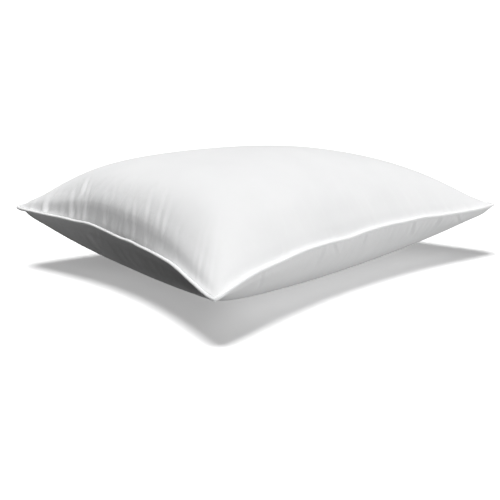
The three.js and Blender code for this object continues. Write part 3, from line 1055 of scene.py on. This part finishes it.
def build():
    """Every piece of the pillow."""
    form, flat = inflate(SHELL_LENGTH, SHELL_WIDTH, SHELL_VOLUME, SHELL_START, LEVELS, STEPS_A_LEVEL,
                         -SEAM_HEIGHT + 1 * MM, SEED)
    form = crease(lie(form), flat)
    seam = seam_frames(form)
    form = spread_edges(form, seam)
    form[..., 2] = np.maximum(form[..., 2], 0)
    shell_panel("top_panel", form, seam, 0, flat)
    shell_panel("bottom_panel", form, seam, 1, flat)
    piping_tape(seam)
    piping_cord(seam)
    lockstitch("seam_needle_thread", seam, 1, -1.0 * MM, 1.3 * MM)
    lockstitch("seam_bobbin_thread", seam, -1, -1.0 * MM, 1.3 * MM)
    overlock(seam)
    closing_stitches(seam)
    care_label(seam)
    core, core_flat = core_form()
    core_panel("core_ticking_top", core, 0, core_flat)
    core_panel("core_ticking_bottom", core, 1, core_flat)
    edge = edge_loop(core[0])
    thread_piece("core_seam_thread", edge, HEAVY_THREAD_RADIUS, 6, True, THREAD, "thread")
    middle = core.mean(axis=(0, 1, 2))
    inner = middle + (core - middle) * np.array(FEATHER_SHARE)
    filling_piece("feather_core", inner[0], inner[1], FEATHERS, "feathers", SEED + 3)
    down_fill("upper_down_fill", form, core, 0, SEED + 4)
    down_fill("lower_down_fill", form, core, 1, SEED + 5)


# ---------------------------------------------------------------- studio

AZIMUTH = -43.07
ELEVATION = 14.22
DISTANCE = 1.174
AIM_RIGHT = -0.0224
AIM_UP = 0.015

STAGE_REACH = 40
TABLE_GREY = 0.05
AMBIENT = 0.07
FLOOR_GLOW = 0.28

# Light by where it comes from (to the right, to the front, up), strength, softness in degrees, shadow
LIGHTS = [
    ("key", (-0.09, -0.01, 0.81), 3.28, 24, True),
    ("fill", (0.50, 0.38, -0.12), 2.4, 40, False),
    ("left", (-0.40, 0.30, 0.62), 0.22, 30, False),
]


def directions(azimuth, elevation):
    """The directions back to the viewer, to the viewer's right, and up in the view."""
    a, e = math.radians(azimuth), math.radians(elevation)
    back = Vector((math.sin(a) * math.cos(e), -math.cos(a) * math.cos(e), math.sin(e)))
    right = Vector((math.cos(a), math.sin(a), 0))
    return back, right, back.cross(right)


def stage_piece(name, points, faces, colour, emission=0.0, **seen_by):
    """A plain sheet of the studio. seen_by says which kinds of ray see it."""
    made, tree, shader = new_material(name, specular=0.0)
    shader.inputs["Base Color"].default_value = (colour, colour, colour, 1)
    shader.inputs["Roughness"].default_value = 1.0
    shader.inputs["Emission Color"].default_value = (1, 1, 1, 1)
    shader.inputs["Emission Strength"].default_value = emission
    mesh = bpy.data.meshes.new(name)
    mesh.from_pydata(points, [], faces)
    mesh.materials.append(made)
    piece = bpy.data.objects.new(name, mesh)
    for kind in ("camera", "diffuse", "glossy", "transmission", "shadow"):
        setattr(piece, "visible_" + kind, seen_by.get(kind, False))
    bpy.context.scene.collection.objects.link(piece)


def rectangle(low, high, height):
    """The points and the face of a level rectangle."""
    (x0, y0), (x1, y1) = low, high
    return [(x0, y0, height), (x1, y0, height), (x1, y1, height), (x0, y1, height)], [(0, 1, 2, 3)]


def stage():
    """A white floor that runs into a white backdrop. What light it sends back comes from the dimmer
    table under it, so that the pillow keeps its own shades."""
    far = STAGE_REACH
    stage_piece("floor", *rectangle((-far, -far), (far, far), 0), 0.9, emission=FLOOR_GLOW, camera=True)
    stage_piece("table", *rectangle((-far, -far), (far, far), -1.0 * MM), TABLE_GREY, diffuse=True)
    angle = np.linspace(0, math.tau, 64, endpoint=False)
    ring = [(far * 0.98 * math.cos(a), far * 0.98 * math.sin(a)) for a in angle]
    points = [(x, y, -0.5) for x, y in ring] + [(x, y, far) for x, y in ring]
    faces = [(k, (k + 1) % 64, 64 + (k + 1) % 64, 64 + k) for k in range(64)]
    stage_piece("backdrop", points, faces, 0.0, emission=1.2, camera=True)


def sunlight(name, towards, strength, softness, shadow=True):
    """Even light from one direction."""
    data = bpy.data.lights.new(name, "SUN")
    data.energy = strength
    data.angle = math.radians(softness)
    data.use_shadow = shadow
    lamp = bpy.data.objects.new(name, data)
    lamp.rotation_euler = Vector(towards).to_track_quat("Z", "Y").to_euler()
    bpy.context.scene.collection.objects.link(lamp)


def studio():
    """The stage, the light and the camera."""
    stage()
    scene = bpy.context.scene
    world = bpy.data.worlds.new("studio")
    world.use_nodes = True
    world.node_tree.nodes["Background"].inputs["Color"].default_value = (1, 1, 1, 1)
    world.node_tree.nodes["Background"].inputs["Strength"].default_value = AMBIENT
    scene.world = world
    scene.view_settings.view_transform = "Standard"
    back, right, up = directions(AZIMUTH, ELEVATION)
    front = Vector((back.x, back.y, 0)).normalized()
    over = Vector((0, 0, 1))
    for name, (to_right, to_front, to_top), strength, softness, shadow in LIGHTS:
        towards = right * to_right + front * to_front + over * to_top
        sunlight(name, towards, strength, softness, shadow)
    camera = bpy.data.cameras.new("camera")
    camera.lens = 50
    camera.sensor_width = 36
    camera.clip_end = 4 * STAGE_REACH
    seen = bpy.data.objects.new("camera", camera)
    seen.location = right * AIM_RIGHT + up * AIM_UP + back * DISTANCE
    seen.rotation_mode = "QUATERNION"
    seen.rotation_quaternion = (-back).to_track_quat("-Z", "Y")
    scene.collection.objects.link(seen)
    scene.camera = seen


build()
studio()
